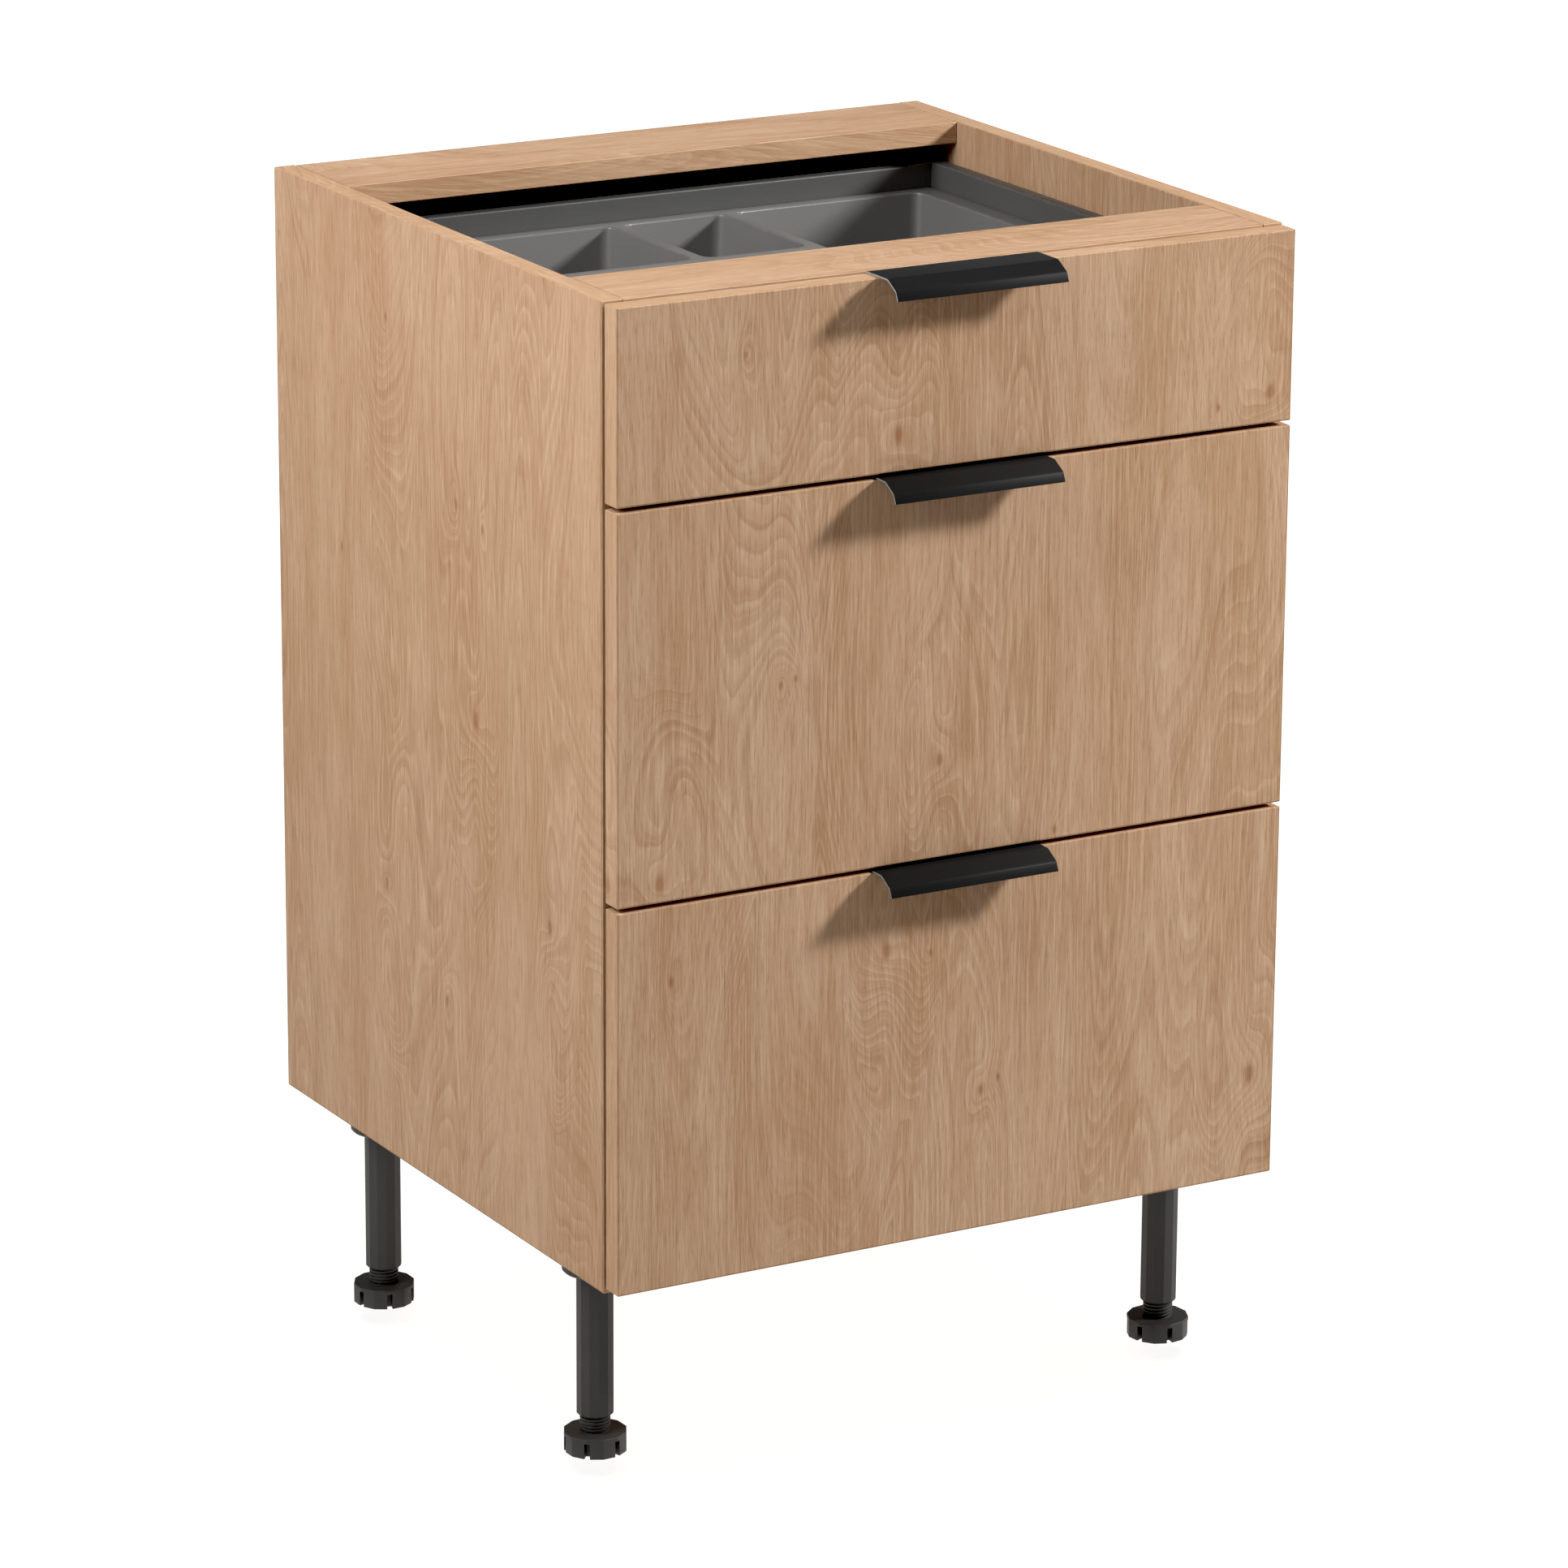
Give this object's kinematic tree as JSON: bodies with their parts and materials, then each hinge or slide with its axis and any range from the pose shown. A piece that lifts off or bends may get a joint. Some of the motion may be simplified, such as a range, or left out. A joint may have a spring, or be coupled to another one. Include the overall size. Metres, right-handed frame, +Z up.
{
  "type": "kitchen base cabinet",
  "caption": "Oak-effect kitchen base cabinet with overlay drawer fronts, edge pulls, steel-sided drawers on coupled runners, a cutlery tray and height-adjustable legs; open top for a worktop",
  "frame": {"origin": "on the floor, under the middle of the footprint, which runs from the lips of the handles to the back edges of the side panels", "axes": "+X to the right as seen from the front, +Y towards the back wall, +Z up; the drawers open towards -Y"},
  "size_m": [0.6, 0.609, 0.945],
  "materials": {
    "oak_carcass": "oak-effect foil on chipboard, satin, with matching edge bands",
    "oak_front": "oak-effect foil on chipboard, satin, upright grain",
    "hardboard": "painted hardboard, matte",
    "beech": "raw fluted dowel",
    "black_aluminium": "black anodised, satin",
    "grey_steel": "grey powder coat, satin",
    "grey_board": "grey foil on chipboard, matte",
    "grey_plastic": "moulded grey plastic, satin",
    "black_plastic": "moulded black plastic, fine grain",
    "zinc_steel": "zinc plated"
  },
  "bodies": {
    "cabinet": {"side_panel_left": "oak_carcass", "side_panel_right": "oak_carcass", "bottom_panel": "oak_carcass", "front_rail": "oak_carcass", "back_rail": "oak_carcass", "back_panel": "hardboard", "cam_bolts": "zinc_steel", "cam_housings": "zinc_steel", "wood_dowels": "beech", "leg_sockets": "black_plastic", "leg_screws": "zinc_steel", "leg_stem_front_left": "black_plastic", "leg_stem_front_right": "black_plastic", "leg_stem_back_left": "black_plastic", "leg_stem_back_right": "black_plastic", "runner_rails_top": "zinc_steel", "runner_rails_middle": "zinc_steel", "runner_rails_bottom": "zinc_steel", "runner_screws": "zinc_steel"},
    "drawer_top": {"drawer_front_top": "oak_front", "handle_top": "black_aluminium", "front_screws_top": "zinc_steel", "front_brackets_top": "zinc_steel", "drawer_side_left_top": "grey_steel", "drawer_side_right_top": "grey_steel", "drawer_bottom_top": "grey_board", "drawer_back_top": "grey_steel", "back_corners_top": "grey_steel", "runner_slides_top": "zinc_steel", "cutlery_tray": "grey_plastic"},
    "drawer_middle": {"drawer_front_middle": "oak_front", "handle_middle": "black_aluminium", "front_screws_middle": "zinc_steel", "front_brackets_middle": "zinc_steel", "drawer_side_left_middle": "grey_steel", "drawer_side_right_middle": "grey_steel", "drawer_bottom_middle": "grey_board", "drawer_back_middle": "grey_steel", "back_corners_middle": "grey_steel", "runner_slides_middle": "zinc_steel"},
    "drawer_bottom": {"drawer_front_bottom": "oak_front", "handle_bottom": "black_aluminium", "front_screws_bottom": "zinc_steel", "front_brackets_bottom": "zinc_steel", "drawer_side_left_bottom": "grey_steel", "drawer_side_right_bottom": "grey_steel", "drawer_bottom_bottom": "grey_board", "drawer_back_bottom": "grey_steel", "back_corners_bottom": "grey_steel", "runner_slides_bottom": "zinc_steel"},
    "carriages_top": {"runner_carriages_top": "zinc_steel"},
    "carriages_middle": {"runner_carriages_middle": "zinc_steel"},
    "carriages_bottom": {"runner_carriages_bottom": "zinc_steel"},
    "foot_front_left": {"foot_front_left": "black_plastic"},
    "foot_front_right": {"foot_front_right": "black_plastic"},
    "foot_back_left": {"foot_back_left": "black_plastic"},
    "foot_back_right": {"foot_back_right": "black_plastic"}
  },
  "joints": [
    {"name": "drawer_slide_top", "type": "slide", "parent": "cabinet", "child": "drawer_top", "axis": [0, -1, 0], "range_m": [0, 0.46]},
    {"name": "drawer_slide_middle", "type": "slide", "parent": "cabinet", "child": "drawer_middle", "axis": [0, -1, 0], "range_m": [0, 0.46]},
    {"name": "drawer_slide_bottom", "type": "slide", "parent": "cabinet", "child": "drawer_bottom", "axis": [0, -1, 0], "range_m": [0, 0.46]},
    {"name": "carriage_slide_top", "type": "slide", "parent": "cabinet", "child": "carriages_top", "axis": [0, -1, 0], "range_m": [0, 0.23]},
    {"name": "carriage_slide_middle", "type": "slide", "parent": "cabinet", "child": "carriages_middle", "axis": [0, -1, 0], "range_m": [0, 0.23]},
    {"name": "carriage_slide_bottom", "type": "slide", "parent": "cabinet", "child": "carriages_bottom", "axis": [0, -1, 0], "range_m": [0, 0.23]},
    {"name": "foot_height_front_left", "type": "slide", "parent": "cabinet", "child": "foot_front_left", "axis": [0, 0, -1], "range_m": [-0.012, 0.015]},
    {"name": "foot_height_front_right", "type": "slide", "parent": "cabinet", "child": "foot_front_right", "axis": [0, 0, -1], "range_m": [-0.012, 0.015]},
    {"name": "foot_height_back_left", "type": "slide", "parent": "cabinet", "child": "foot_back_left", "axis": [0, 0, -1], "range_m": [-0.012, 0.015]},
    {"name": "foot_height_back_right", "type": "slide", "parent": "cabinet", "child": "foot_back_right", "axis": [0, 0, -1], "range_m": [-0.012, 0.015]}
  ],
  "couplings": [
    {"joint": "carriage_slide_top", "follows": "drawer_slide_top", "ratio": 0.5},
    {"joint": "carriage_slide_middle", "follows": "drawer_slide_middle", "ratio": 0.5},
    {"joint": "carriage_slide_bottom", "follows": "drawer_slide_bottom", "ratio": 0.5}
  ]
}
